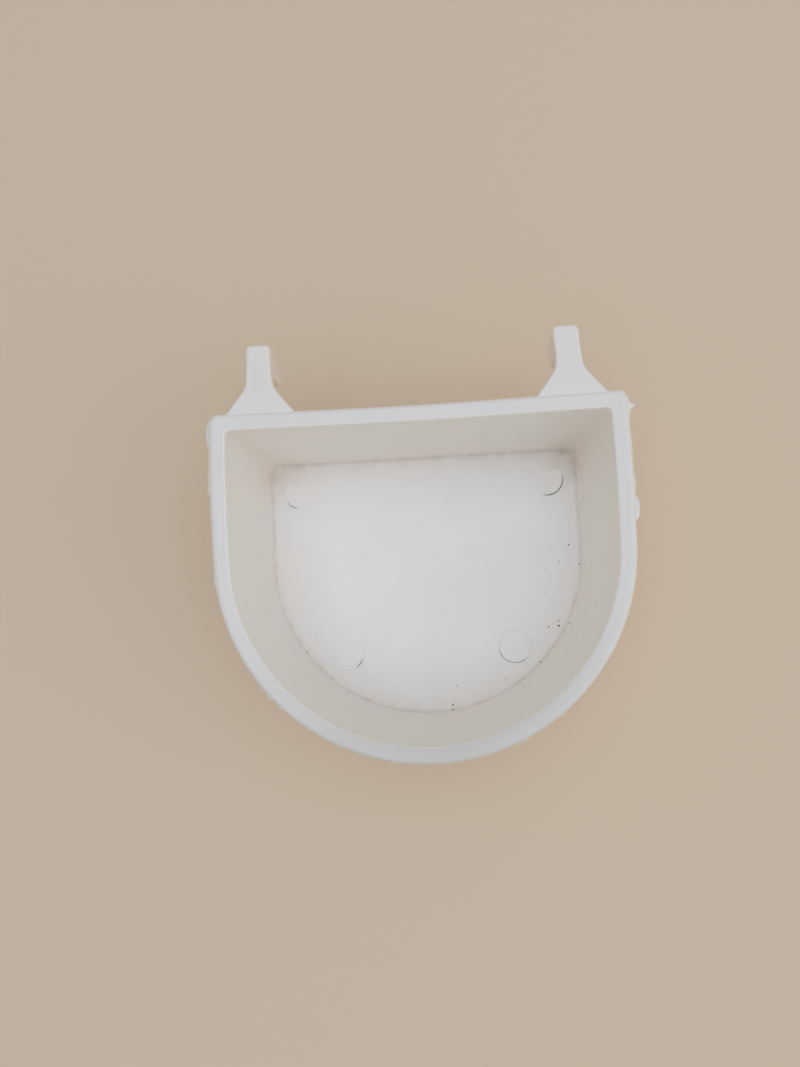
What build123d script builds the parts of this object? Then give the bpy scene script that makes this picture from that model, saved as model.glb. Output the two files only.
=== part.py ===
"""Hang-on seed cup for a bird cage: a D-shaped white moulding with two hooks on its flat back.

The origin lies on the underside, on the axis of the round front. +X is to the right, +Y points to
the flat back with the hooks and +Z points up. Sizes are in millimetres and angles in degrees.
"""

import os
from math import cos, radians, sin, tan

from build123d import *

# Cup
cup_height = 38.0        # underside to the top of the rim
wall = 2.2               # thickness of the walls, measured level
floor_thickness = 2.4
side_draft = 3.8         # inward lean of the sides and the round front, going down
back_draft = 2.8         # inward lean of the flat back, going down
floor_corner = 4.5       # plan radius of the inside back corners at the floor
mouth_corner = 0.8       # plan radius of the inside back corners at the mouth
base_edge_round = 1.5    # rounded lower edge of the floor

# Rim, the thickened lip round the mouth
rim_width = 90.0         # across the two side faces
rim_to_back = 31.0       # from the axis of the round front to the flat back face
rim_band = 3.6           # width of the lip seen from above
rim_height = 4.0
rim_corner = 2.0         # plan radius of the outer back corners
rim_outer_round = 1.6    # rounded outer shoulder
rim_inner_round = 1.2    # rounded edge of the mouth
rim_under_round = 0.5    # rounded lower edge

# Ejector pin marks, thin round pads on the floor
pin_mark_diameter = 8.0
pin_mark_height = 0.15
pin_mark_inset = 7.4     # from the floor's inside edge to a mark's centre
pin_mark_angle = 48.0    # the front marks' turn below the side-to-side line

# Hooks, each a flat arm with a triangular foot on the rim and a leg hanging from its tip
hook_inset = 11.3        # from the rim's side face to the hook's centre line
hook_reach = 15.3        # from the rim's back face to the arm's tip
hook_gap = 8.8           # from the rim's back face to the leg, for the cage wire
arm_drop = 0.3           # the arm's top lies this far below the top of the rim
arm_width = 5.3
arm_thickness = 3.2
arm_tip_round = 1.0      # plan radius of the tip's corners
arm_edge_round = 0.4     # softened upper edges
foot_width = 15.2
foot_length = 6.0
foot_blend = 2.0         # plan radius where the foot narrows into the arm
leg_length = 8.5         # below the arm
leg_front_lean = 0.3     # the leg's front face leans back by this much over its length
leg_back_lean = 1.6      # the leg's back face leans forward by this much over its length
leg_side_lean = 0.2      # each side of the leg leans in by this much over its length
leg_end_round = 0.7      # rounded lower edge

# Places that follow from the sizes above
rim_half = rim_width / 2
rim_bottom = cup_height - rim_height
arm_bottom = cup_height - arm_drop - arm_thickness
arm_root = rim_band / 2
leg_bottom = arm_bottom - leg_length
hook_x = rim_half - hook_inset


def inside_half(height):
    """Half the width of the cup's inside at a height, which is also its round front's radius."""
    return rim_half - rim_band - (cup_height - height) * tan(radians(side_draft))


def inside_back(height):
    """Distance of the flat back's inside face from the axis of the round front at a height."""
    return rim_to_back - rim_band - (cup_height - height) * tan(radians(back_draft))


def inside_corner(height):
    """Plan radius of the inside back corners, growing evenly from the mouth down to the floor."""
    share = (cup_height - height) / (cup_height - floor_thickness)
    return mouth_corner + (floor_corner - mouth_corner) * share


def d_outline(half, back, corner):
    """D-shaped face: a half circle in front, straight sides, a flat back and rounded back corners."""
    with BuildSketch() as outline:
        with BuildLine():
            CenterArc((0, 0), half, 180, 180)
            Polyline((half, 0), (half, back), (-half, back), (-half, 0))
        make_face()
        fillet(outline.vertices().group_by(Axis.Y)[-1], radius=corner)
    return outline.sketch


def drafted_block(low, high, grow):
    """Solid D between two heights with the cup's draft, standing out by grow from its inside."""
    with BuildPart() as block:
        for height in (low, high):
            with BuildSketch(Plane.XY.offset(height)):
                half = inside_half(height) + grow
                back = inside_back(height) + grow
                add(d_outline(half, back, inside_corner(height) + grow))
        loft(ruled=True)
    return block.part


os.makedirs("parts", exist_ok=True)

# Floor plate, with a rounded lower edge and the four pin marks on its upper face
floor_half = inside_half(floor_thickness)
floor_back = inside_back(floor_thickness)
mark_ring = floor_half - pin_mark_inset
mark_front_x = mark_ring * cos(radians(pin_mark_angle))
mark_front_y = -mark_ring * sin(radians(pin_mark_angle))
mark_back_y = floor_back - pin_mark_inset
mark_places = [
    (mark_ring, mark_back_y),
    (-mark_ring, mark_back_y),
    (mark_front_x, mark_front_y),
    (-mark_front_x, mark_front_y),
]

with BuildPart() as cup_floor:
    add(drafted_block(0, floor_thickness, wall))
    fillet(cup_floor.faces().sort_by(Axis.Z)[0].edges(), radius=base_edge_round)
    with BuildSketch(Plane.XY.offset(floor_thickness)):
        with Locations(*mark_places):
            Circle(pin_mark_diameter / 2)
    extrude(amount=pin_mark_height)
cup_floor.part.label = "cup_floor"
export_step(cup_floor.part, "parts/cup_floor.step")

# The wall all round, from the floor's upper face to the rim's lower face
with BuildPart() as wall_ring:
    add(drafted_block(floor_thickness, rim_bottom, wall))
    add(drafted_block(floor_thickness, rim_bottom, 0), mode=Mode.SUBTRACT)

# The flat panel of the back ends where the corners start to curve at the floor
panel_width = 2 * (floor_half - floor_corner)
panel_reach = rim_to_back + wall

with BuildPart() as back_wall:
    add(wall_ring.part)
    with BuildSketch(Plane.XY.offset(floor_thickness)):
        Rectangle(panel_width, panel_reach, align=(Align.CENTER, Align.MIN))
    extrude(amount=rim_bottom - floor_thickness, mode=Mode.INTERSECT)
back_wall.part.label = "back_wall"
export_step(back_wall.part, "parts/back_wall.step")

with BuildPart() as curved_wall:
    add(wall_ring.part)
    with BuildSketch(Plane.XY.offset(floor_thickness)):
        Rectangle(panel_width, panel_reach, align=(Align.CENTER, Align.MIN))
    extrude(amount=rim_bottom - floor_thickness, mode=Mode.SUBTRACT)
curved_wall.part.label = "curved_wall"
export_step(curved_wall.part, "parts/curved_wall.step")

# Rim, flush with the wall inside and standing out from it outside
with BuildPart() as rim:
    with BuildSketch(Plane.XY.offset(rim_bottom)):
        add(d_outline(rim_half, rim_to_back, rim_corner))
    extrude(amount=rim_height)
    add(drafted_block(rim_bottom, cup_height, 0), mode=Mode.SUBTRACT)
    fillet(rim.faces().sort_by(Axis.Z)[-1].outer_wire().edges(), radius=rim_outer_round)
    fillet(rim.faces().sort_by(Axis.Z)[-1].inner_wires()[0].edges(), radius=rim_inner_round)
    fillet(rim.faces().sort_by(Axis.Z)[0].outer_wire().edges(), radius=rim_under_round)
rim.part.label = "rim"
export_step(rim.part, "parts/rim.step")

# Two like hooks, whose arms start inside the rim and are cut back to its face and rounded shoulder
leg_front_y = rim_to_back + hook_gap
leg_depth = hook_reach - hook_gap
leg_end_front_y = leg_front_y + leg_front_lean
leg_end_depth = leg_depth - leg_front_lean - leg_back_lean
leg_end_width = arm_width - 2 * leg_side_lean

for side, centre_x in (("left", -hook_x), ("right", hook_x)):
    with BuildPart() as hook_arm:
        with BuildSketch(Plane((centre_x, rim_to_back, arm_bottom))) as arm_plan:
            with BuildLine():
                Polyline(
                    (-foot_width / 2, -arm_root),
                    (-foot_width / 2, 0),
                    (-arm_width / 2, foot_length),
                    (-arm_width / 2, hook_reach),
                    (arm_width / 2, hook_reach),
                    (arm_width / 2, foot_length),
                    (foot_width / 2, 0),
                    (foot_width / 2, -arm_root),
                    close=True,
                )
            make_face()
            fillet(arm_plan.vertices().group_by(Axis.Y)[-1], radius=arm_tip_round)
            waist = arm_plan.vertices().filter_by_position(Axis.Y, foot_length, foot_length)
            fillet(waist, radius=foot_blend)
        extrude(amount=arm_thickness)
        upper_edges = hook_arm.faces().sort_by(Axis.Z)[-1].edges()
        fillet(upper_edges.sort_by(Axis.Y)[1:], radius=arm_edge_round)
        add(rim.part, mode=Mode.SUBTRACT)
    hook_arm.part.label = f"{side}_hook_arm"
    export_step(hook_arm.part, f"parts/{side}_hook_arm.step")

    with BuildPart() as hook_leg:
        with BuildSketch(Plane((centre_x, leg_front_y, arm_bottom))) as leg_root:
            Rectangle(arm_width, leg_depth, align=(Align.CENTER, Align.MIN))
            fillet(leg_root.vertices().group_by(Axis.Y)[-1], radius=arm_tip_round)
        with BuildSketch(Plane((centre_x, leg_end_front_y, leg_bottom))) as leg_end:
            Rectangle(leg_end_width, leg_end_depth, align=(Align.CENTER, Align.MIN))
            fillet(leg_end.vertices().group_by(Axis.Y)[-1], radius=arm_tip_round)
        loft(ruled=True)
        fillet(hook_leg.faces().sort_by(Axis.Z)[0].edges(), radius=leg_end_round)
    hook_leg.part.label = f"{side}_hook_leg"
    export_step(hook_leg.part, f"parts/{side}_hook_leg.step")
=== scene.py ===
"""Seed cup for a bird cage, a white moulding that hangs on two hooks.

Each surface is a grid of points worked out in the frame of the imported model: a D carried up and over the
wall, a rounded bar carried along each hook, a thin fin along the parting line and four raised discs on the
floor.
"""

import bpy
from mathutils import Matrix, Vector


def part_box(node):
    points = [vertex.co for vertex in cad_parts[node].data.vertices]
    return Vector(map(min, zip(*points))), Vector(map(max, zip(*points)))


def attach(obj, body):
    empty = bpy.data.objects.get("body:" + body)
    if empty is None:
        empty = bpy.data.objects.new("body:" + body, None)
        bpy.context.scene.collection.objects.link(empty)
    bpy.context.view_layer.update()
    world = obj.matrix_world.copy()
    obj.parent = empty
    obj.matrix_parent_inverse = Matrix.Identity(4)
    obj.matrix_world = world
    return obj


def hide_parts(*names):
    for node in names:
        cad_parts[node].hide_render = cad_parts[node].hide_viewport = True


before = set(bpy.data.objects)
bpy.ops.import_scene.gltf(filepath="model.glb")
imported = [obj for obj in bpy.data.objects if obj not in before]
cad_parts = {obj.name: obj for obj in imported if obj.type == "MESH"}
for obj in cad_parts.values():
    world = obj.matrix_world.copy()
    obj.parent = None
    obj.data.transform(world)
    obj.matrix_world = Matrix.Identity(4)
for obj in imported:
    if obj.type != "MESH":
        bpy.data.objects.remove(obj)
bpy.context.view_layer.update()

from math import cos, pi, radians, tan

import bpy
import numpy as np
from bpy.props import FloatProperty, FloatVectorProperty, PointerProperty
from bpy.types import Operator, Panel, PropertyGroup
from mathutils import Vector

bl_info = {
    "name": "Seed cup",
    "version": (1, 0, 0),
    "blender": (4, 5, 0),
    "location": "3D View > Sidebar > Seed cup",
    "description": "Makes a moulded seed cup with two hooks, its finish and its stage",
    "category": "Add Mesh",
}

MM = 0.001
RIM_LOW, RIM_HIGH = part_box("rim")
ARM_LOW, ARM_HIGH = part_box("right_hook_arm")
LEG_LOW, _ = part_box("right_hook_leg")
BODY = "root"

# Columns round half of the cup: along the back, round the corner, down the side and round the front.
CUP_COLUMNS = (48, 14, 30, 72)
FLASH_COLUMNS = (210, 24, 170, 260)

# Columns round a pin mark, and rings of its rounded edge.
DISC_COLUMNS = 72
DISC_EDGE_RINGS = 5

# Rings of the floor and the underside, a wall, a rounded edge, and the rim's ridge, face and shelf.
FLOOR_RINGS = 34
WALL_RINGS = 30
ROUND_RINGS = 9
RIDGE_RINGS = 12
FACE_RINGS = 8
SHELF_RINGS = 5

# Rings of a hook along its arm, a short stretch, a bend, its leg and the leg's end, and points of a corner.
ARM_RINGS = 40
STRETCH_RINGS = 10
BEND_RINGS = 10
LEG_RINGS = 16
END_RINGS = 7
CORNER_POINTS = 6

# Sockets of a colour mix, whose names Blender uses more than once: share, two colours and result.
MIX_SHARE, MIX_FIRST, MIX_SECOND, MIXED = 0, 6, 7, 2


def linear(hex_colour):
    """Linear colour of an sRGB hex value.

    A channel c becomes c / 12.92 up to 0.04045, and ((c + 0.055) / 1.055) ^ 2.4 above it.
    """
    srgb = np.array([int(hex_colour[at:at + 2], 16) for at in (1, 3, 5)]) / 255
    curve = ((srgb + 0.055) / 1.055) ** 2.4
    return [float(c) for c in np.where(srgb > 0.04045, curve, srgb / 12.92)]


def length(name, description, millimetres):
    """A length that a user may change, held in metres."""
    return FloatProperty(
        name=name, description=description, default=millimetres * MM, unit="LENGTH", precision=5)


def angle(name, description, degrees):
    """An angle that a user may change, held in radians."""
    return FloatProperty(name=name, description=description, default=radians(degrees), subtype="ANGLE")


def share(name, description, default):
    """A share between 0 and 1 that a user may change."""
    return FloatProperty(name=name, description=description, default=default, min=0, max=1, subtype="FACTOR")


def colour(name, description, hex_colour):
    """A colour that a user may change, held as linear light."""
    return FloatVectorProperty(
        name=name, description=description, default=linear(hex_colour), size=3, min=0, max=1, subtype="COLOR")


class CupSizes(PropertyGroup):
    """Sizes of the cup's wall, floor and rim."""

    wall: length("Wall", "Thickness of the wall", 2.2)
    floor: length("Floor", "Thickness of the floor", 2.4)
    side_draft: angle("Side draft", "Lean of the sides and the front", 3.8)
    back_draft: angle("Back draft", "Lean of the back", 2.8)
    wall_curve: FloatProperty(
        name="Wall curve", description="Power by which the lean gathers near the floor", default=2.0)
    floor_corner: length("Floor corner", "Radius of the back corners where they meet the floor", 4.5)
    mouth_corner: length("Mouth corner", "Radius of the back corners at the mouth", 0.8)
    rim_corner: length("Rim corner", "Radius of the rim's outer back corners", 2.0)
    rim_band: length("Rim band", "Width of the rim seen from above", 3.6)
    crease: length("Crease", "Radius of the groove round the floor", 0.3)
    lip_width: length("Lip width", "How far the rim's inner lip reaches over the band", 0.45)
    lip_drop: length("Lip drop", "Height of the inner lip's round", 0.65)
    crown: length("Crown", "How far the rim's ridge stands above its inner lip", 0.22)
    front_lip_reach: length("Front lip reach", "How far the front's worn lip reaches over the band", 1.7)
    front_lip_drop: length("Front lip drop", "How far the front's lip is worn down", 0.5)
    shoulder_width: length("Shoulder width", "How far the rim's outer round reaches over the band", 1.1)
    shoulder_drop: length("Shoulder drop", "Height of the rim's outer round", 1.3)
    under_round: length("Under round", "Radius of the rim's lower edge", 0.5)
    neck_round: length("Neck round", "Radius between the rim's underside and the wall", 0.6)
    base_round: length("Base round", "Radius of the cup's lower edge", 1.5)
    back_bow: length("Back bow", "How far the back bends out towards its corners, from shrinkage", 0.5)
    side_swell: length("Side swell", "How far the sides bulge between corner and front, from shrinkage", 0.32)
    ramp_reach: length("Ramp reach", "How far the floor's back corners slope up", 7.0)
    ramp_rise: length("Ramp rise", "How high the floor's back corners slope up", 2.4)


class HookSizes(PropertyGroup):
    """Sizes of the two hooks."""

    arm_width: length("Arm width", "Width of a hook's arm", 5.3)
    foot_width: length("Foot width", "Width of the arm's foot at the rim", 15.2)
    foot_length: length("Foot length", "How far the foot runs out along the arm", 6.0)
    foot_blend: length("Foot blend", "Softness of the corner between foot and arm", 0.9)
    edge_round: length("Edge round", "Radius of the arm's long edges", 0.4)
    tip_round: length("Tip round", "Radius of the tip's upright edges", 1.0)
    bend_round: length("Bend round", "Radius of the tip seen from the side", 0.8)
    inner_round: length("Inner round", "Radius between the arm's underside and the leg", 0.6)
    end_round: length("End round", "Radius of the leg's lower edge", 0.45)
    front_lean: length("Front lean", "How far the leg's front leans back over its length", 0.3)
    back_lean: length("Back lean", "How far the leg's back leans forward over its length", 1.0)
    side_lean: length("Side lean", "How far each side of the leg leans in over its length", 0.2)
    right_lean: angle("Right lean", "Turn of the right hook's tip towards the left, from handling", 2.3)
    right_swell: length("Right swell", "Bulge of the right hook's edge near its tip", 0.25)


class MarkSizes(PropertyGroup):
    """Sizes of the ejector pin marks and of the flash."""

    pin_diameter: length("Pin diameter", "Diameter of an ejector pin mark", 8.3)
    pin_height: length("Pin height", "Usual step of a pin mark above the floor", 0.15)
    pin_inset: length("Pin inset", "Distance of a pin mark's middle from the floor's edge", 7.4)
    pin_angle: angle("Pin angle", "Direction of the front pin marks from the cup's axis", 48)
    flash_height: length("Flash height", "Height of the parting line above the rim's underside", 2.4)
    flash_thickness: length("Flash thickness", "Thickness of the flash at its root", 0.8)
    flash_reach: length("Flash reach", "Usual reach of the flash past the rim", 0.09)


class PlasticFinish(PropertyGroup):
    """Colours and gloss of the moulded polyethylene, with the colours of its painted warm bounce light and
    painted shade.
    """

    plastic: colour("Plastic", "Colour of the clean plastic", "#FCF9F4")
    # The shade colour tints the real yellowed clouds and also paints warm bounce light on the walls.
    bounce_and_cloud_tint: colour("Shade", "Colour of the thin walls and of slightly yellowed clouds", "#FDF4EB")
    dirt_and_warm_shade: colour("Dirt", "Colour of a thin stain", "#C09A60")
    # The speck colour is also the grey of the painted shade and of the pin marks' painted shadow.
    speck_and_shade: colour("Speck", "Colour of thick dirt and dust specks", "#5B5247")
    roughness: share("Roughness", "Roughness of the satin surface", 0.42)


class WearLook(PropertyGroup):
    """Dirt that use has left on the cup, and painted shade beside the crease, in the back corners and on the
    rim, the outside and the hooks.
    """

    line: share("Crease line", "Dirt in the crease round the floor", 0.27)
    line_width: length("Crease line width", "Half width of the crease's line", 0.34)
    # Haze, front haze and back haze paint a warm shade beside the crease, and at the front a painted shadow.
    crease_shade: share("Haze", "Stain on the floor beside the crease", 0.06)
    front_crease_shadow: share("Front haze", "Further stain beside the front of the crease", 0.12)
    back_crease_shade: share("Back haze", "Further stain beside the back of the crease", 0.19)
    crease_shade_reach: length("Haze reach", "How far the stain fades over the floor", 4.5)
    # The corner stains are a painted shade in the back corners, deeper on the right.
    left_corner_shade: share("Left stain", "Stain in the left back corner", 0.26)
    right_corner_shade: share("Right stain", "Stain in the right back corner", 0.46)
    corner_shade_reach: length("Stain reach", "How far a corner's stain spreads", 9.0)
    # The films are a grey painted shade on the hooks, the rim, the flash and the outside, deeper at the front
    # as a painted shadow.
    hook_film: share("Hook film", "Grey film on the hooks", 0.075)
    film: share("Film", "Grey film on the rim and the outside", 0.1)
    front_film: share("Front film", "Further film at the front", 0.18)


class StageLook(PropertyGroup):
    """Colours and levels of the floor and the lamps."""

    board: colour("Floor", "Colour of the floor", "#E8D3B8")
    lamp: colour("Lamp", "Colour of the overhead lamp, a cool skylight", "#B4DBFF")
    glass: colour("Window", "Colour of the light from the right", "#F4F6FF")
    room: colour("Room", "Colour of the light all round, a warm room", "#FFF5EC")
    overhead: FloatProperty(
        name="Overhead", description="Power of the overhead lamp", default=3.49, unit="POWER")
    window: FloatProperty(
        name="Window", description="Power of the lamp at the right", default=1.44, unit="POWER")
    ambient: FloatProperty(name="Ambient", description="Strength of the light all round", default=0.48)


def sheet_faces(rings, columns, loop, first):
    """Faces of one sheet whose points start at the index first.

    Ring i is joined to ring i + 1, and each column to the next with the last joined to the first. A loop
    also joins its last ring to its first; any other sheet ends in two poles, which follow its rings.
    """
    column = np.arange(columns)
    after = (column + 1) % columns
    ring = np.arange(rings if loop else rings - 1)[:, None]
    here, there = ring * columns, (ring + 1) % rings * columns
    quads = np.stack([here + column, here + after, there + after, there + column], axis=-1)
    quads = (quads.reshape(-1, 4) + first).tolist()
    if loop:
        return quads
    start = np.full(columns, rings * columns)
    last = (rings - 1) * columns
    fans = np.stack([[start, after, column], [last + column, last + after, start + 1]])
    return quads + (fans.transpose(0, 2, 1).reshape(-1, 3) + first).tolist()


def skin(name, sheets, loop=False, **traces):
    """Smooth mesh object from sheets of points, each an array of rings by columns by xyz.

    A trace is a value for each point of each sheet, kept as an attribute of the mesh. Poles are the
    middles of the end rings, in place and in value.
    """
    faces, points, first = [], [], 0
    values = {trace: [] for trace in traces}
    for at, sheet in enumerate(sheets):
        rings, columns, _ = sheet.shape
        faces += sheet_faces(rings, columns, loop, first)
        poles = [] if loop else [sheet[[0, -1]].mean(axis=1)]
        points += [sheet.reshape(-1, 3), *poles]
        for trace, given in traces.items():
            level = np.broadcast_to(given[at], (rings, columns))
            values[trace] += [level.ravel()] + ([] if loop else [level[[0, -1]].mean(axis=1)])
        first += rings * columns + (0 if loop else 2)
    mesh = bpy.data.meshes.new(name)
    mesh.from_pydata(np.concatenate(points).tolist(), [], faces)
    for trace, level in values.items():
        mesh.attributes.new(trace, "FLOAT", "POINT").data.foreach_set("value", np.concatenate(level))
    mesh.shade_smooth()
    piece = bpy.data.objects.new(name, mesh)
    bpy.context.scene.collection.objects.link(piece)
    return piece


def mould(piece, finish, *nodes):
    """Gives a piece its plastic, fixes it to the cup's body and hides the nodes that it stands for."""
    piece.data.materials.append(moulded_polyethylene(finish))
    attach(piece, BODY)
    if nodes:
        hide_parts(*nodes)


def eased(count):
    """Steps from 0 to 1, crowding to both ends as (1 - cos(pi t)) / 2, so flats keep true beside rounds."""
    return (1 - np.cos(np.linspace(0, pi, count))) / 2


def quarter(count=ROUND_RINGS):
    """Angles of a quarter turn."""
    return np.linspace(0, pi / 2, count)


def ripple(along, *waves):
    """Mean of sines, each of a wavelength and a phase."""
    return sum(np.sin(2 * pi * along / wave + phase) for wave, phase in waves) / len(waves)


def d_outline(half, back, corner, counts):
    """Closed D seen from above, clockwise from the middle of the back, one row for each level.

    Straight along the back, a quarter circle of the corner's radius, straight down the side to the axis
    and a quarter circle of the half width to the middle of the front; the left half is the right one
    mirrored.
    """
    run = np.append(np.repeat(np.arange(4), counts), 3)
    part = np.append(np.concatenate([np.arange(n) / n for n in counts]), 1)
    half, back, corner = (np.atleast_1d(size)[:, None] for size in (half, back, corner))
    turn, level = part * pi / 2, np.zeros_like(part)
    x = np.choose(run, [
        part * (half - corner),
        half - corner + corner * np.sin(turn),
        half + level,
        half * np.cos(turn),
    ])
    y = np.choose(run, [
        back + level,
        back - corner + corner * np.cos(turn),
        (back - corner) * (1 - part),
        -half * np.sin(turn),
    ])
    return np.concatenate([x, -x[:, -2:0:-1]], axis=1), np.concatenate([y, y[:, -2:0:-1]], axis=1)


def cup_profile(cup):
    """Section through the cup from the floor's edge over the rim to the underside's edge.

    Rows of side, back, corner and height: how far the D lies outside the mouth at the sides and at the
    back, its corner's radius and its height. A wall at a share t of the depth lies depth tan(draft)
    t^curve inside the mouth, upright at the mouth and leaning most at the floor, and its corner's radius
    goes from the mouth's to the floor's as t^5. Rounds are quarter ellipses, and the rim rises from its
    lip to its ridge by half a cosine.
    """
    top, rim_low, band = RIM_HIGH.z, RIM_LOW.z, cup.rim_band
    depth = top - cup.floor
    insets = depth * np.tan([cup.side_draft, cup.back_draft])
    corner_curve = 5
    a = quarter()
    outer = band - cup.shoulder_width

    def lean(height):
        return -insets * np.atleast_1d((top - height) / depth)[:, None] ** cup.wall_curve

    def stretch(offset, height, corner, leaning=True):
        offset, corner = np.broadcast_to(offset, height.shape), np.broadcast_to(corner, height.shape)
        return np.column_stack([offset[:, None] + (lean(height) if leaning else np.zeros(2)), corner, height])

    def wall_corner(height):
        grown = ((top - height) / depth) ** corner_curve
        return cup.mouth_corner + (cup.floor_corner - cup.mouth_corner) * grown

    def rim_corner(offset):
        return cup.mouth_corner + (cup.rim_corner - cup.mouth_corner) * offset / band

    crease = cup.floor + cup.crease * (1 - np.cos(a))
    inner = cup.floor + cup.crease + (top - cup.lip_drop - cup.floor - cup.crease) * eased(WALL_RINGS)[1:]
    lip = cup.lip_width * (1 - np.cos(a[1:]))
    lip_height = top - cup.crown - (cup.lip_drop - cup.crown) * (1 - np.sin(a[1:]))
    rise = eased(RIDGE_RINGS)[1:]
    ridge = cup.lip_width + (outer - cup.lip_width) * np.linspace(0, 1, RIDGE_RINGS)[1:]
    shoulder = band - cup.shoulder_width * (1 - np.sin(a[1:]))
    face_top = top - cup.shoulder_drop
    face = face_top - (face_top - rim_low - cup.under_round) * eased(FACE_RINGS)[1:]
    under = band - cup.under_round * (1 - np.cos(a[1:]))
    neck_outer = cup.wall + cup.neck_round
    shelf_start, shelf_end = band - cup.under_round, neck_outer + lean(rim_low)[0, 0]
    shelf = shelf_start + (shelf_end - shelf_start) * eased(SHELF_RINGS)[1:-1]
    neck = cup.wall + cup.neck_round * (1 - np.sin(a))
    neck_height = rim_low - cup.neck_round * (1 - np.cos(a))
    outside = rim_low - cup.neck_round - (rim_low - cup.neck_round - cup.base_round) * eased(WALL_RINGS)[1:]
    base = cup.wall - cup.base_round * (1 - np.cos(a[1:]))
    base_height = cup.base_round * (1 - np.sin(a[1:]))
    return np.concatenate([
        stretch(-cup.crease * (1 - np.sin(a)), crease, wall_corner(crease)),
        stretch(0, inner, wall_corner(inner)),
        stretch(lip, lip_height, rim_corner(lip), leaning=False),
        stretch(ridge, top - cup.crown * (1 - rise), rim_corner(ridge), leaning=False),
        stretch(shoulder, top - cup.shoulder_drop * (1 - np.cos(a[1:])), rim_corner(shoulder), leaning=False),
        stretch(band, face, cup.rim_corner, leaning=False),
        stretch(under, rim_low + cup.under_round * (1 - np.sin(a[1:])), cup.rim_corner, leaning=False),
        stretch(shelf, np.full(shelf.shape, rim_low), cup.rim_corner, leaning=False),
        stretch(neck, neck_height, wall_corner(neck_height) + cup.wall),
        stretch(cup.wall, outside, wall_corner(outside) + cup.wall),
        stretch(base, base_height, wall_corner(base_height) + cup.wall),
    ])


def settle(points, cup):
    """Bends points as the moulding bent when it cooled, more with height.

    With w the way from the axis to the back, y grows by the bow times the squared sine of the way from
    the middle to the side times w^3, and x by the swell times sin(pi w) times its share of the half width.
    """
    x, y, z = np.moveaxis(points, -1, 0)
    height, way = z / RIM_HIGH.z, np.clip(y / RIM_HIGH.y, 0, 1)
    bow = cup.back_bow * np.sin(pi / 2 * x / RIM_HIGH.x) ** 2 * way ** 3 * height
    swell = cup.side_swell * np.sin(pi * way) * height * x / RIM_HIGH.x
    return np.stack([x + swell, y + bow, z], axis=-1)


def cup_shell(cup, wear):
    """Points of the whole cup and their traces.

    Rings of the floor are the floor's D shrunk towards a middle point, crowding to its edge as
    1 - (1 - t)^2; then come the D of every row of the profile and the rings of the underside. In the two
    back corners the floor slopes up by the rise times (1 - distance / reach)^2, which fades up the wall.
    The lip is worn down by the drop times (1 - offset / reach)^2 across the band, most at the middle of
    the front, which fades down the wall.
    """
    side, back, corner, height = cup_profile(cup).T
    mouth_half, mouth_back = RIM_HIGH.x - cup.rim_band, RIM_HIGH.y - cup.rim_band
    x, y = d_outline(mouth_half + side, mouth_back + back, corner, CUP_COLUMNS)
    walls = np.stack([x, y, np.repeat(height[:, None], x.shape[1], axis=1)], axis=-1)
    pole_size, far = 0.02, 1.0
    ramp_fade, lip_fade, lip_blend = 3 * MM, 3 * MM, 0.4 * MM
    within = np.arange(len(height)) < ROUND_RINGS + WALL_RINGS - 1
    below_lip = np.maximum(RIM_HIGH.z - cup.lip_drop - height, 0)
    across = np.clip(1 - np.maximum(side, 0) / cup.front_lip_reach, 0, 1) ** 2
    worn = np.where(within, np.exp(-below_lip / lip_fade), across)
    worn = np.where(height > RIM_LOW.z - lip_fade, worn, 0)
    walls[..., 2] -= cup.front_lip_drop * worn[:, None] * np.clip(-y / RIM_HIGH.x, 0, 1)
    grown = 1 - (1 - pole_size) * (1 - np.arange(FLOOR_RINGS) / FLOOR_RINGS) ** 2

    def disc(edge, scale):
        middle = np.array([0, (edge[:, 1].max() + edge[:, 1].min()) / 2, edge[0, 2]])
        return middle + scale[:, None, None] * (edge - middle)

    points = np.concatenate([disc(walls[0], grown), walls, disc(walls[-1], grown[::-1])])
    level = np.zeros(FLOOR_RINGS)
    inside = np.concatenate([level + 1, within, level])[:, None]
    rim = np.where(within | (height < RIM_LOW.z), 0, np.clip(side / lip_blend, 0, 1))
    rim = np.concatenate([level, rim, level])[:, None]
    lift = np.concatenate([level, height - height[0], level])[:, None]
    away = np.where(inside > 0, lift, far)
    away[:FLOOR_RINGS, 0] = (grown - 1) * mouth_half
    corner_x, corner_y = walls[0, :, 0].max(), walls[0, :, 1].max()
    from_corner = np.hypot(np.abs(points[..., 0]) - corner_x, points[..., 1] - corner_y)
    ramp = np.clip(1 - from_corner / cup.ramp_reach, 0, 1) ** 2 * inside
    points[..., 2] += cup.ramp_rise * ramp * np.exp(-lift / ramp_fade)
    return settle(points, cup), cup_wear(points, away, lift, inside, rim, from_corner, wear)


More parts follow.
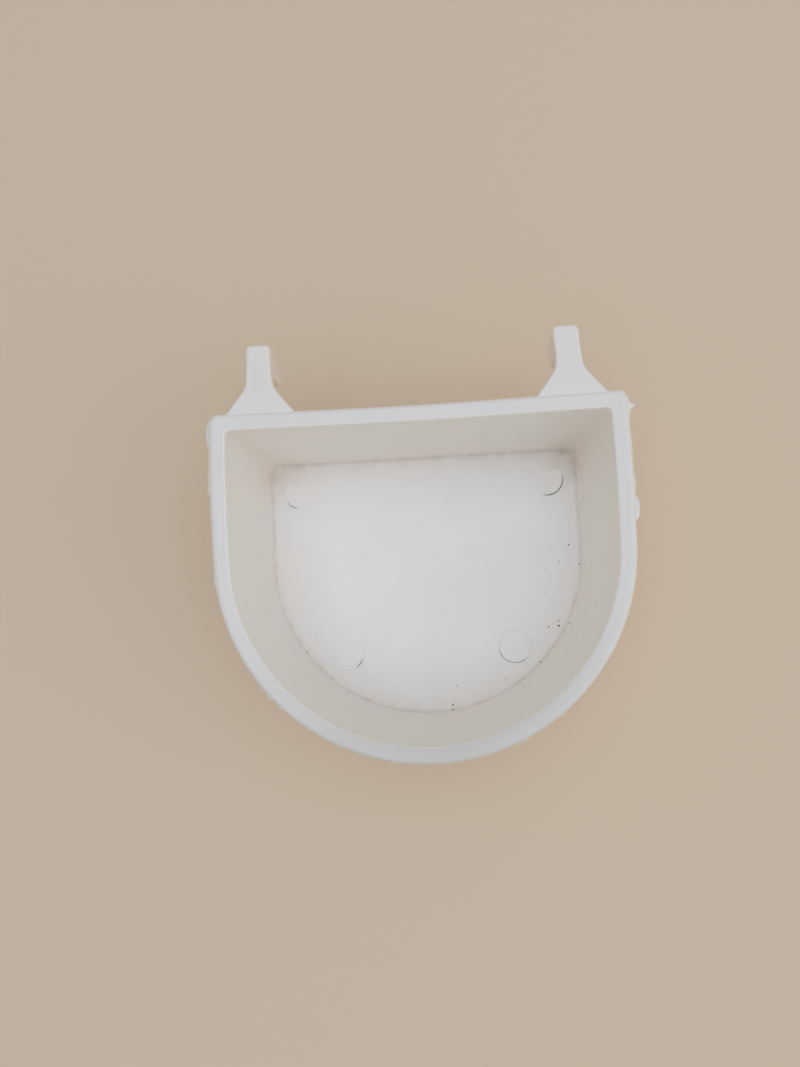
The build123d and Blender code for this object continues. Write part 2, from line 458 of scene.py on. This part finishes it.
def cup_wear(points, away, lift, inside, rim, from_corner, wear):
    """Traces of grime and painted shade, grey painted shade, dust and thinness for the cup's points.

    Grime is a bell of the distance from the crease, broken by a ripple, faint in the back corners and
    fainter along the back, and a short second line on the floor; with it lies a warm painted shade that
    fades from the crease by exp(-distance / reach), more at the back and, as a painted shadow, at the
    front; and a painted shade that falls off evenly from the back corners and fades up the wall. Grey
    painted shade lies on the rim and the outside, deeper at the front as a painted shadow. Dust lies
    inside, most by the crease and at the front right. A wall is thin from a little above the floor, and
    the rim hardly; the thinness also paints warm bounce light on the walls.
    """
    x, y = points[..., 0], points[..., 1]
    turn = np.arange(points.shape[1]) / points.shape[1]
    back_start, back_fade, forward_share = 14 * MM, 12 * MM, 0.6
    front = np.clip(-y / RIM_HIGH.x, 0, 1) ** 2
    near_back = np.clip((y - back_start) / back_fade, 0, 1)
    right = np.clip((x - forward_share * y) / RIM_HIGH.x, -1, 1)

    gap, gap_fade, faintest, back_loss = 2.5 * MM, 4 * MM, 0.1, 0.4
    patch_depth, patch_waves = 0.25, ((0.31, 0.4), (0.13, 2.0), (0.047, 1.1))
    patchy = 1 - patch_depth + patch_depth * ripple(turn, *patch_waves)
    line = wear.line * np.exp(-(away / wear.line_width) ** 2) * patchy
    line = line * np.clip((from_corner - gap) / gap_fade, faintest, 1) * (1 - back_loss * near_back)

    twin_place, twin_width, twin_turn, twin_spread, twin_level = -1.0 * MM, 0.25 * MM, 0.66, 0.05, 0.12
    off_twin = ((away - twin_place) / twin_width) ** 2 + ((turn - twin_turn) / twin_spread) ** 4
    twin = twin_level * np.exp(-off_twin)

    # A warm painted shade beside the crease, fading over the floor and a little up the wall, higher up the
    # back wall and deeper at the front as a painted shadow.
    wall_fade, back_climb = 0.5 * MM, 2
    fade = np.where(away < 0, wear.crease_shade_reach, wall_fade * (1 + back_climb * near_back))
    crease_shade = (wear.crease_shade + wear.front_crease_shadow * front + wear.back_crease_shade * near_back) * np.exp(-np.abs(away) / fade)

    # A painted shade in the back corners, deeper on the right, fading up the wall.
    corner_shade_climb = 6 * MM
    warm_shade = np.where(x < 0, wear.left_corner_shade, wear.right_corner_shade) * inside
    warm_shade = warm_shade * np.clip(1 - from_corner / wear.corner_shade_reach, 0, 1) * np.exp(-lift / corner_shade_climb)

    floor_dust_reach, wall_dust_reach = 7 * MM, 16 * MM
    open_dust, crease_dust, right_dust = 0.42, 0.32, 0.42
    dust_fade = np.exp(-np.abs(away) / np.where(away < 0, floor_dust_reach, wall_dust_reach))

    # Thinness sets the subsurface weight and also paints warm bounce light on the walls.
    thin_start, thick_rim = 6 * MM, 0.15
    # Grey painted shade lies on the rim and the outside, deeper at the front as a painted shadow.
    outside = np.where(rim > 0, rim, (1 - inside) * (lift < RIM_LOW.z))
    return {
        "grime": line + twin + crease_shade + warm_shade,
        "film": (wear.film + wear.front_film * front) * outside,
        "dust": inside * (open_dust + (crease_dust + right_dust * right) * dust_fade),
        "thin": np.clip(lift / thin_start, 0, 1) * (1 - (1 - thick_rim) * rim),
    }


def bar_section(half_width, inner, outer, inner_round, outer_round):
    """Rounded rectangles between two lines in the side view, one ring for each of their points.

    A point of a ring lies at a corner's centre plus its radius times the cosine and sine of an angle; the
    corners follow clockwise from the upper left, seen from the tip, with points close to the rounds to
    keep the flats true.
    """
    signs = np.array([[-1, 1], [1, 1], [1, -1], [-1, -1]])
    start = np.array([pi, pi / 2, 0, -pi / 2])[:, None]
    angles = start - quarter(CORNER_POINTS)
    depth = np.linalg.norm(outer - inner, axis=1)
    up = (outer - inner) / depth[:, None]
    corner_round = np.where(signs[:, 1] > 0, outer_round[:, None], inner_round[:, None])
    reach = np.stack([half_width, depth / 2], axis=-1)[:, None] - corner_round[..., None]
    ring = (signs * reach)[:, :, None] + corner_round[..., None, None] * np.stack(
        [np.cos(angles), np.sin(angles)], axis=-1)
    after = np.roll(ring, -1, axis=1)[:, :, :1]
    flat_shares = np.array([0.05, 0.3, 0.7, 0.95])[:, None]
    ring = np.concatenate([ring, ring[:, :, -1:] + (after - ring[:, :, -1:]) * flat_shares], axis=2)
    across, along = np.moveaxis(ring.reshape(len(half_width), -1, 2), -1, 0)
    middle = (inner + outer) / 2
    rise = middle[:, None] + along[..., None] * up[:, None]
    return np.stack([across, rise[..., 0], rise[..., 1]], axis=-1)


def hook_bar(hook):
    """Points of one upright hook about its own middle plane.

    The outer line runs along the arm's top, round the tip and down the leg's back; the inner line runs
    along the arm's underside, round a small hollow and down the leg's front. The half width is the arm's
    plus a soft ramp, (r + sqrt(r^2 + blend^2)) / 2, that widens the foot towards the rim, less the leg's
    lean. The leg's end closes by a quarter circle.
    """
    sunk_root, least_round = 2.2 * MM, 0.05 * MM
    root, tip = RIM_HIGH.y - sunk_root, ARM_HIGH.y
    top, under, low, front = ARM_HIGH.z, ARM_LOW.z, LEG_LOW.z, LEG_LOW.y
    bend, hollow, end = hook.bend_round, hook.inner_round, hook.end_round
    fan, turn = np.linspace(0, 1, STRETCH_RINGS)[1:], quarter(BEND_RINGS)[1:]
    arm = root + (front - hollow - root) * eased(ARM_RINGS)
    ground = low + end

    def line(*stretches):
        return np.concatenate([np.column_stack(np.broadcast_arrays(*pair)) for pair in stretches])

    def lean(height, start, total):
        return start + total * (under - np.asarray(height)) / (under - low)

    back_top, back_fall = top - bend, under - hollow
    leg = back_fall + (ground - back_fall) * eased(LEG_RINGS)[1:]
    outer = line(
        (arm, top),
        (arm[-1] + (tip - bend - arm[-1]) * fan, top),
        (tip - bend * (1 - np.sin(turn)), top - bend * (1 - np.cos(turn))),
        (tip, back_top + (back_fall - back_top) * fan),
        (lean(leg, tip, -hook.back_lean), leg),
    )
    hollow_turn = np.linspace(0, pi / 2, len(fan) * 2 + len(turn) + 1)[1:]
    inner = line(
        (arm, under),
        (front - hollow * (1 - np.sin(hollow_turn)), under - hollow * (1 - np.cos(hollow_turn))),
        (lean(leg, front, hook.front_lean), leg),
    )
    bent = np.clip((outer[:, 0] - front) / (tip - front), 0, 1) * (np.arange(len(outer)) >= len(arm))
    foot_slope = (hook.foot_width - hook.arm_width) / 2 / hook.foot_length
    ramp = foot_slope * (RIM_HIGH.y + hook.foot_length - outer[:, 0])
    foot = (ramp + np.sqrt(ramp ** 2 + hook.foot_blend ** 2)) / 2 * (1 - bent)
    down = np.clip((under - inner[:, 1]) / (under - low), 0, 1)
    half_width = hook.arm_width / 2 + foot - hook.side_lean * down
    edge = np.full(len(outer), hook.edge_round)
    outer_round = edge + (hook.tip_round - edge) * bent
    close = quarter(END_RINGS)[1:]
    shrink = end * (1 - np.cos(close))
    drop = end * np.sin(close)
    tail = np.array([(inner[-1] + outer[-1]) / 2])
    half_leg = (outer[-1] - inner[-1]) / 2
    half_depth = half_leg * (1 - shrink[:, None] / np.linalg.norm(half_leg))
    sunk = tail - np.column_stack([np.zeros_like(drop), drop])
    return bar_section(
        np.concatenate([half_width, half_width[-1] - shrink]),
        np.concatenate([inner, sunk - half_depth]),
        np.concatenate([outer, sunk + half_depth]),
        np.concatenate([edge, np.maximum(edge[-1] - shrink, least_round)]),
        np.concatenate([outer_round, np.maximum(outer_round[-1] - shrink, least_round)]),
    )


def place_hook(bar, side, lean, swell):
    """Sets a hook at its side of the back, turns its arm by the lean and swells its left edge near the tip.

    The lean moves x by -tan(lean) per length behind the rim; the swell is a bell of the distance from a
    place near the tip, felt by the left half alone.
    """
    x, y, z = np.moveaxis(bar, -1, 0)
    bulge_place, bulge_spread = ARM_HIGH.y - 2.4 * MM, 1.7 * MM
    bulge = swell * np.exp(-((y - bulge_place) / bulge_spread) ** 2) * (x < 0)
    x = x - bulge - tan(lean) * np.maximum(y - RIM_HIGH.y, 0)
    return np.stack([x + side * (ARM_LOW.x + ARM_HIGH.x) / 2, y, z], axis=-1)


def pin_disc(marks, cup, x, y, dark, tilt, faint, thick):
    """Points and dark arc of one ejector pin mark, a thin disc whose edge stands highest on its dark side.

    Rings grow from the middle to the edge, round it, go down the side and close below the floor. The
    height above the floor is the pin height times (1/4 + tilt times proud times the share of the radius),
    where proud is 2 ((1 + cos(angle from the dark side)) / 2)^2 - 3/4, so the far side sinks into the
    floor. The dark arc, dirt in the step and a painted shadow of the step, is a bell of the distance from
    the edge, whole between the two dark angles in degrees and a faint share elsewhere, times how thick it is.
    """
    radius, soft, sunk, arc_width, arc_power = marks.pin_diameter / 2, 0.08 * MM, 0.6 * MM, 0.2 * MM, 6
    middle_rise, proud_most, proud_drop = 0.25, 2, 0.75
    a = quarter(DISC_EDGE_RINGS)
    top_shares = np.array([0.08, 0.5, 0.8, 0.9, 0.93, 0.96])
    top = radius * top_shares
    out = np.concatenate([top, radius - soft + soft * np.sin(a), [radius, radius / 2]])
    fall = np.concatenate([np.zeros(len(top)), soft * (1 - np.cos(a)), [sunk, sunk]])
    turn = -np.arange(DISC_COLUMNS) / DISC_COLUMNS * 2 * pi
    dark_from, dark_to = dark
    middle, spread = radians(dark_from + dark_to) / 2, radians(dark_to - dark_from) / 2
    swing = np.angle(np.exp(1j * (turn - middle)))
    proud = proud_most * ((1 + np.cos(swing)) / 2) ** 2 - proud_drop
    rise = middle_rise + proud[None, :] * tilt * np.minimum(out / radius, 1)[:, None]
    height = cup.floor + marks.pin_height * rise
    points = np.stack([
        x + out[:, None] * np.cos(turn),
        y + out[:, None] * np.sin(turn),
        height - fall[:, None],
    ], axis=-1)
    # A dark arc along the proud step: dirt in the step and a painted shadow of the step.
    edge = np.exp(-((out - radius) / arc_width) ** 2)
    dirt_and_shadow = faint + (1 - faint) * np.exp(-(swing / spread) ** arc_power)
    return points, thick * edge[:, None] * dirt_and_shadow


# Burrs of the flash, clockwise from the middle of the back: place, spread and reach in millimetres, and how
# square they are.
BURRS = (
    (45.4, 1.9, 0.35, 4),
    (47.5, 0.6, 1.35, 2),
    (48.6, 1.4, 0.45, 2),
    (56.0, 6.0, 0.16, 4),
    (64.3, 2.2, 0.32, 4),
    (69.4, 2.4, 0.90, 6),
    (116.8, 0.8, 0.20, 2),
    (126.5, 1.0, 0.18, 2),
    (160.0, 1.2, 0.10, 2),
    (181.3, 0.7, 0.34, 2),
    (184.6, 0.6, 0.36, 2),
    (187.5, 1.4, 0.18, 2),
    (212.0, 1.8, 0.28, 2),
    (224.0, 6.0, 0.16, 4),
    (231.8, 0.7, 0.35, 2),
    (234.3, 0.8, 0.30, 2),
    (235.8, 5.2, 0.28, 6),
    (244.3, 3.0, 0.75, 3),
)


def flash_fin(marks, cup):
    """Points of the thin fin that the mould's parting line left round the rim.

    A flat lens is carried along the rim's outline. Its reach is a small wavering base plus the burrs, each
    its reach times exp(-|distance / spread| ^ power) with a ragged edge, and it thins from root to edge.
    """
    x, y = d_outline(RIM_HIGH.x, RIM_HIGH.y, cup.rim_corner, FLASH_COLUMNS)
    path = np.stack([x[0], y[0], np.full(x.shape[1], RIM_LOW.z + marks.flash_height)], axis=-1)
    path = settle(path, cup)
    ahead = np.roll(path, -1, axis=0) - np.roll(path, 1, axis=0)
    ahead /= np.linalg.norm(ahead, axis=1)[:, None]
    out = np.column_stack([-ahead[:, 1], ahead[:, 0], np.zeros(len(path))])
    step = np.linalg.norm(np.diff(path, axis=0, append=path[:1]), axis=1)
    along = (np.cumsum(step) - step[0]) / MM
    waver_share, waver_waves = 0.8, ((23, 0.3), (7.1, 1.9), (2.3, 0.7), (1.1, 2.6))
    rag_share, long_rag, short_rag = 0.12, 1.7, 0.9
    reach = marks.flash_reach * (1 + waver_share * ripple(along, *waver_waves))
    for place, spread, size, square in BURRS:
        ragged = 1 + rag_share * ripple(along, (long_rag, place), (short_rag, 2 * place))
        reach = reach + size * MM * ragged * np.exp(-np.abs((along - place) / spread) ** square)
    # The lens's section from the root's top round the edge to its underside: how far out, and how high.
    root_depth, half = 1.2, marks.flash_thickness / 2
    root = -root_depth * half
    across = np.array([root, 0, 0.5, 0.85, 1, 0.85, 0.5, 0, root])
    level = half * np.array([1, 1, 0.7, 0.35, 0, -0.35, -0.7, -1, -1])
    rooted = across < 0
    push = np.where(rooted[:, None], across[:, None], across[:, None] * reach)
    points = path + push[..., None] * out
    points[..., 2] += level[:, None]
    return points


def add(tree, kind, inputs=(), **settings):
    """Adds one node with its settings.

    Each input is a socket and either a constant or another node's output.
    """
    node = tree.nodes.new("ShaderNode" + kind)
    for name, value in settings.items():
        setattr(node, name, value)
    for socket, value in dict(inputs).items():
        if isinstance(value, bpy.types.NodeSocket):
            tree.links.new(value, node.inputs[socket])
        else:
            node.inputs[socket].default_value = value
    return node


def moulded_polyethylene(finish):
    """Injection-moulded polyethylene, made once and shared by every piece."""
    # White, waxy and faintly see-through: soft wide highlights, edges that glow a little, a fine orange-peel
    # skin from the mould, hairline scuffs, dust that sticks in the creases, painted shade beside the crease
    # and in the back corners, grey painted shade on the rim, the outside and the hooks, and painted warm
    # bounce light on the walls.
    name = "moulded_polyethylene"
    if name in bpy.data.materials:
        return bpy.data.materials[name]
    material = bpy.data.materials.new(name)
    material.use_nodes = True
    tree = material.node_tree
    tree.nodes.clear()
    place = add(tree, "TexCoord").outputs["Object"]
    grime, film, dust, thin = (
        add(tree, "Attribute", attribute_name=trace).outputs["Fac"]
        for trace in ("grime", "film", "dust", "thin"))
    plastic, bounce_and_cloud_tint, dirt_and_warm_shade, speck_and_shade = (
        (*tint, 1) for tint in (finish.plastic, finish.bounce_and_cloud_tint, finish.dirt_and_warm_shade, finish.speck_and_shade))

    # Slightly yellowed clouds in the plastic, and a painted warm bounce light on the walls that grows with
    # the thin trace.
    cloud_size, cloud_low, cloud_high, cloud_most, thin_wall_warm_bounce = 14 * MM, 0.38, 0.68, 0.3, 0.7
    clouds = add(tree, "TexNoise", {"Vector": place, "Scale": 1 / cloud_size, "Detail": 4, "Roughness": 0.55})
    cloud_share = add(tree, "MapRange", {
        "Value": clouds.outputs["Fac"], "From Min": cloud_low, "From Max": cloud_high, "To Max": cloud_most})
    bounce_and_cloud_share = add(tree, "Math", {0: thin, 1: thin_wall_warm_bounce, 2: cloud_share.outputs[0]}, operation="MULTIPLY_ADD")
    # This plastic carries the painted warm bounce light of the walls.
    clean = add(tree, "Mix", {
        MIX_SHARE: bounce_and_cloud_share.outputs[0], MIX_FIRST: plastic, MIX_SECOND: bounce_and_cloud_tint}, data_type="RGBA")

    # Crumbly dirt and painted shade, ochre where it is thin and dark where it is thick, under a grey painted
    # shade.
    crumb_size, crumb_low, crumb_high, crumb_least = 3 * MM, 0.3, 0.7, 0.5
    crumbs = add(tree, "TexNoise", {"Vector": place, "Scale": 1 / crumb_size, "Detail": 3})
    crumb_share = add(tree, "MapRange", {
        "Value": crumbs.outputs["Fac"], "From Min": crumb_low, "From Max": crumb_high, "To Min": crumb_least})
    dirt_and_shade_share = add(
        tree, "Math", {0: grime, 1: crumb_share.outputs[0]}, operation="MULTIPLY", use_clamp=True).outputs[0]
    thick_dirt_and_shade = add(tree, "Mix", {
        MIX_SHARE: dirt_and_shade_share, MIX_FIRST: dirt_and_warm_shade, MIX_SECOND: speck_and_shade}, data_type="RGBA")
    soiled_and_shaded = add(tree, "Mix", {
        MIX_SHARE: dirt_and_shade_share, MIX_FIRST: clean.outputs[MIXED], MIX_SECOND: thick_dirt_and_shade.outputs[MIXED],
    }, data_type="RGBA")
    # Grey painted shade over the rim, the outside, the flash and the hooks, deeper at the front as a painted
    # shadow.
    filmed = add(tree, "Mix", {
        MIX_SHARE: film, MIX_FIRST: soiled_and_shaded.outputs[MIXED], MIX_SECOND: speck_and_shade}, data_type="RGBA")

    # Dust specks, one in each cell, mostly tiny and with ragged edges.
    speck_spacing, speck_radius, speck_wander = 1.25 * MM, 0.3 * MM, 0.5 * MM
    speck_power, speck_edge = 4.5, 0.03
    ragged = add(tree, "TexNoise", {"Vector": place, "Scale": 1 / speck_wander})
    wander = add(tree, "VectorMath", {
        0: ragged.outputs["Color"], 1: (speck_radius, speck_radius, speck_radius), 2: place,
    }, operation="MULTIPLY_ADD")
    cells = add(tree, "TexVoronoi", {
        "Vector": wander.outputs[0], "Scale": 1 / speck_spacing, "Randomness": 1.0})
    lot = add(tree, "SeparateColor", {0: cells.outputs["Color"]})
    few_large = add(tree, "Math", {0: lot.outputs[0], 1: speck_power}, operation="POWER")
    speck_size = add(
        tree, "Math", {0: few_large.outputs[0], 1: speck_radius / speck_spacing}, operation="MULTIPLY")
    dusted = add(tree, "Math", {0: speck_size.outputs[0], 1: dust}, operation="MULTIPLY")
    near = add(tree, "Math", {0: dusted.outputs[0], 1: cells.outputs["Distance"]}, operation="SUBTRACT")
    speck_share = add(tree, "MapRange", {"Value": near.outputs[0], "From Min": 0, "From Max": speck_edge})
    specked = add(tree, "Mix", {
        MIX_SHARE: speck_share.outputs[0], MIX_FIRST: filmed.outputs[MIXED], MIX_SECOND: speck_and_shade,
    }, data_type="RGBA")

    # Hairline scuffs where a slow noise crosses its middle, and gloss that changes with the clouds.
    scuff_size, scuff_middle, scuff_width, scuff_depth = 22 * MM, 0.5, 0.006, 0.4
    lines = add(tree, "TexNoise", {"Vector": place, "Scale": 1 / scuff_size, "Detail": 1, "Distortion": 1.2})
    off_line = add(tree, "Math", {0: lines.outputs["Fac"], 1: scuff_middle}, operation="SUBTRACT")
    from_line = add(tree, "Math", {0: off_line.outputs[0]}, operation="ABSOLUTE")
    scuff = add(tree, "MapRange", {
        "Value": from_line.outputs[0], "From Min": 0, "From Max": scuff_width, "To Min": 1, "To Max": 0})
    gloss_low, gloss_high, smoother, rougher = 0.3, 0.7, 0.06, 0.08
    rough = add(tree, "MapRange", {
        "Value": clouds.outputs["Fac"], "From Min": gloss_low, "From Max": gloss_high,
        "To Min": finish.roughness - smoother, "To Max": finish.roughness + rougher})

    # The mould's own skin is finer than a fifth of a millimetre, too fine to show, so it is drawn coarser.
    peel_size, peel_depth, peel_strength = 0.7 * MM, 0.05 * MM, 0.22
    peel = add(tree, "TexNoise", {"Vector": place, "Scale": 1 / peel_size, "Detail": 3, "Roughness": 0.5})
    skin_height = add(tree, "Math", {
        0: scuff.outputs[0], 1: -scuff_depth, 2: peel.outputs["Fac"]}, operation="MULTIPLY_ADD")
    bump = add(tree, "Bump", {
        "Strength": peel_strength, "Distance": peel_depth, "Height": skin_height.outputs[0]})

    surface = add(tree, "BsdfPrincipled", {
        "Base Color": specked.outputs[MIXED],
        "Roughness": rough.outputs[0],
        "IOR": 1.51,
        "Subsurface Weight": thin,
        "Subsurface Radius": (1.0, 0.95, 0.9),
        "Subsurface Scale": 1.2 * MM,
        "Normal": bump.outputs["Normal"],
    })
    add(tree, "OutputMaterial", {"Surface": surface.outputs[0]})
    return material


def matt_board(look):
    """Matt painted board for the floor."""
    # An even pale coat without gloss, with the faint stipple of a roller.
    material = bpy.data.materials.new("matt_painted_board")
    material.use_nodes = True
    tree = material.node_tree
    tree.nodes.clear()
    stipple_size, stipple_depth, stipple_strength = 2.5 * MM, 0.1 * MM, 0.05
    place = add(tree, "TexCoord").outputs["Object"]
    stipple = add(tree, "TexNoise", {"Vector": place, "Scale": 1 / stipple_size, "Detail": 2})
    bump = add(tree, "Bump", {
        "Strength": stipple_strength, "Distance": stipple_depth, "Height": stipple.outputs["Fac"]})
    surface = add(tree, "BsdfPrincipled", {
        "Base Color": (*look.board, 1),
        "Roughness": 0.85,
        "Normal": bump.outputs["Normal"],
    })
    add(tree, "OutputMaterial", {"Surface": surface.outputs[0]})
    return material


def soft_lamp(scene, name, power, colour_of_light, size, place):
    """Adds a square soft lamp that points at the cup from a place in metres."""
    light = bpy.data.lights.new(name, "AREA")
    light.energy, light.color, light.size = power, colour_of_light, size
    lamp = bpy.data.objects.new(name, light)
    lamp.location = place
    lamp.rotation_euler = (-Vector(place)).to_track_quat("-Z", "Y").to_euler()
    scene.collection.objects.link(lamp)


class SEEDCUP_OT_shell(Operator):
    """Make the cup's floor, walls and rim as one moulded surface"""

    bl_idname = "seed_cup.shell"
    bl_label = "Cup shell"

    def execute(self, context):
        scene = context.scene
        points, traces = cup_shell(scene.seed_cup_sizes, scene.seed_cup_wear)
        shell = skin("cup_shell", [points], **{trace: [level] for trace, level in traces.items()})
        mould(shell, scene.seed_cup_finish, "cup_floor", "curved_wall", "back_wall", "rim")
        return {"FINISHED"}


class SEEDCUP_OT_hooks(Operator):
    """Make the two hooks on the back of the rim"""

    bl_idname = "seed_cup.hooks"
    bl_label = "Hooks"

    def execute(self, context):
        scene = context.scene
        hook = scene.seed_cup_hooks
        bar = hook_bar(hook)
        arm_thinness = 0.5
        for name, side, lean, swell in (("left", -1, 0, 0), ("right", 1, hook.right_lean, hook.right_swell)):
            points = place_hook(bar, side, lean, swell)
            # The arm's thinness also paints a little warm bounce light on it.
            thin = np.clip((points[..., 1] - RIM_HIGH.y) / hook.foot_length, 0, 1) * arm_thinness
            # The hook's film trace is a grey painted shade.
            piece = skin(name + "_hook", [points], thin=[thin], film=[scene.seed_cup_wear.hook_film])
            mould(piece, scene.seed_cup_finish, name + "_hook_arm", name + "_hook_leg")
        return {"FINISHED"}


class SEEDCUP_OT_pin_marks(Operator):
    """Make the four ejector pin marks on the floor"""

    bl_idname = "seed_cup.pin_marks"
    bl_label = "Pin marks"

    def execute(self, context):
        scene = context.scene
        marks, cup = scene.seed_cup_marks, scene.seed_cup_sizes
        depth = RIM_HIGH.z - cup.floor
        floor_half = RIM_HIGH.x - cup.rim_band - depth * tan(cup.side_draft)
        floor_back = RIM_HIGH.y - cup.rim_band - depth * tan(cup.back_draft)
        ring = floor_half - marks.pin_inset
        back_x, back_y = ring, floor_back - marks.pin_inset
        front_x, front_y = ring * cos(marks.pin_angle), -ring * np.sin(marks.pin_angle)
        # Each mark's dark arc is dirt in its raised step and a painted shadow of the step.
        discs = [
            pin_disc(marks, cup, -back_x, back_y, dark=(212, 258), tilt=0.9, faint=0.02, thick=1.2),
            pin_disc(marks, cup, back_x, back_y, dark=(255, 365), tilt=0.9, faint=0.03, thick=2.2),
            pin_disc(marks, cup, front_x, front_y, dark=(190, 315), tilt=0.3, faint=0.3, thick=1.2),
            pin_disc(marks, cup, -front_x, front_y, dark=(304, 338), tilt=0.9, faint=0.06, thick=1.7),
        ]
        points, grime = zip(*discs)
        mould(skin("pin_marks", points, grime=grime), scene.seed_cup_finish)
        return {"FINISHED"}


class SEEDCUP_OT_flash(Operator):
    """Make the flash round the rim"""

    bl_idname = "seed_cup.flash"
    bl_label = "Rim flash"

    def execute(self, context):
        scene = context.scene
        fin = flash_fin(scene.seed_cup_marks, scene.seed_cup_sizes)
        # The flash's film trace is a grey painted shade.
        mould(skin("rim_flash", [fin], loop=True, film=[scene.seed_cup_wear.film]), scene.seed_cup_finish)
        return {"FINISHED"}


class SEEDCUP_OT_stage(Operator):
    """Make the floor, the lamps and the camera"""

    bl_idname = "seed_cup.stage"
    bl_label = "Stage"

    def execute(self, context):
        scene = context.scene
        look = scene.seed_cup_stage
        # The floor lies a hair below the cup, so that the two never share a plane.
        reach, level = 3.0, -0.05 * MM
        corners = [(x * reach, y * reach, level) for x, y in ((-1, -1), (1, -1), (1, 1), (-1, 1))]
        board = bpy.data.meshes.new("floor")
        board.from_pydata(corners, [], [(0, 1, 2, 3)])
        board.materials.append(matt_board(look))
        floor = bpy.data.objects.new("floor", board)
        scene.collection.objects.link(floor)

        overhead_size, overhead_place = 1.05, (0, 0, 1.0)
        window_size, window_place = 0.9, (0.82, -0.25, 0.5)
        soft_lamp(scene, "overhead", look.overhead, look.lamp, overhead_size, overhead_place)
        soft_lamp(scene, "window", look.window, look.glass, window_size, window_place)

        # The room is brighter where it is seen or mirrored than where it only lights the cup.
        seen_strength = 0.8
        world = bpy.data.worlds.new("studio")
        world.use_nodes = True
        tree = world.node_tree
        tree.nodes.clear()
        ray = add(tree, "LightPath").outputs
        mirrored = add(tree, "Math", {0: ray["Is Glossy Ray"], 1: ray["Is Transmission Ray"]})
        seen = add(tree, "Math", {0: ray["Is Camera Ray"], 1: mirrored.outputs[0]}, use_clamp=True)
        strength = add(tree, "Mix", {0: seen.outputs[0], 2: look.ambient, 3: seen_strength})
        sky = add(tree, "Background", {"Color": (*look.room, 1), "Strength": strength.outputs[0]})
        add(tree, "OutputWorld", {"Surface": sky.outputs[0]})
        scene.world = world

        # The camera looks almost straight down on the cup, as the photograph does.
        photo_height, focal_length, sensor = 1067, 801, 36
        place_mm, turn_degrees = (4.53, -11.48, 206.44), (4.848, 3.300, -2.780)
        camera_data = bpy.data.cameras.new("camera")
        camera_data.sensor_width = sensor
        camera_data.lens = sensor * focal_length / photo_height
        camera_data.clip_start = 10 * MM
        camera = bpy.data.objects.new("camera", camera_data)
        camera.location = [size * MM for size in place_mm]
        camera.rotation_euler = [radians(turn) for turn in turn_degrees]
        scene.collection.objects.link(camera)
        scene.camera = camera
        scene.view_settings.view_transform = "Standard"
        return {"FINISHED"}


OPERATORS = (SEEDCUP_OT_shell, SEEDCUP_OT_hooks, SEEDCUP_OT_pin_marks, SEEDCUP_OT_flash, SEEDCUP_OT_stage)
SETTINGS = {
    "seed_cup_sizes": CupSizes,
    "seed_cup_hooks": HookSizes,
    "seed_cup_marks": MarkSizes,
    "seed_cup_finish": PlasticFinish,
    "seed_cup_wear": WearLook,
    "seed_cup_stage": StageLook,
}


class SEEDCUP_PT_panel(Panel):
    """Lists the cup's sizes and colours and the operators that make it"""

    bl_idname = "SEEDCUP_PT_panel"
    bl_label = "Seed cup"
    bl_space_type = "VIEW_3D"
    bl_region_type = "UI"
    bl_category = "Seed cup"

    def draw(self, context):
        for setting, group in SETTINGS.items():
            box = self.layout.box()
            for name in group.__annotations__:
                box.prop(getattr(context.scene, setting), name)
        for operator in OPERATORS:
            self.layout.operator(operator.bl_idname)


def register():
    """Registers the settings, the operators and the panel."""
    for group in SETTINGS.values():
        bpy.utils.register_class(group)
    for setting, group in SETTINGS.items():
        setattr(bpy.types.Scene, setting, PointerProperty(type=group))
    for operator in OPERATORS:
        bpy.utils.register_class(operator)
    bpy.utils.register_class(SEEDCUP_PT_panel)


def unregister():
    """Removes what register added."""
    bpy.utils.unregister_class(SEEDCUP_PT_panel)
    for operator in OPERATORS:
        bpy.utils.unregister_class(operator)
    for setting in SETTINGS:
        delattr(bpy.types.Scene, setting)
    for group in SETTINGS.values():
        bpy.utils.unregister_class(group)


def main():
    """Makes the cup and its stage."""
    register()
    bpy.ops.seed_cup.shell()
    bpy.ops.seed_cup.hooks()
    bpy.ops.seed_cup.pin_marks()
    bpy.ops.seed_cup.flash()
    bpy.ops.seed_cup.stage()


if __name__ == "__main__":
    main()
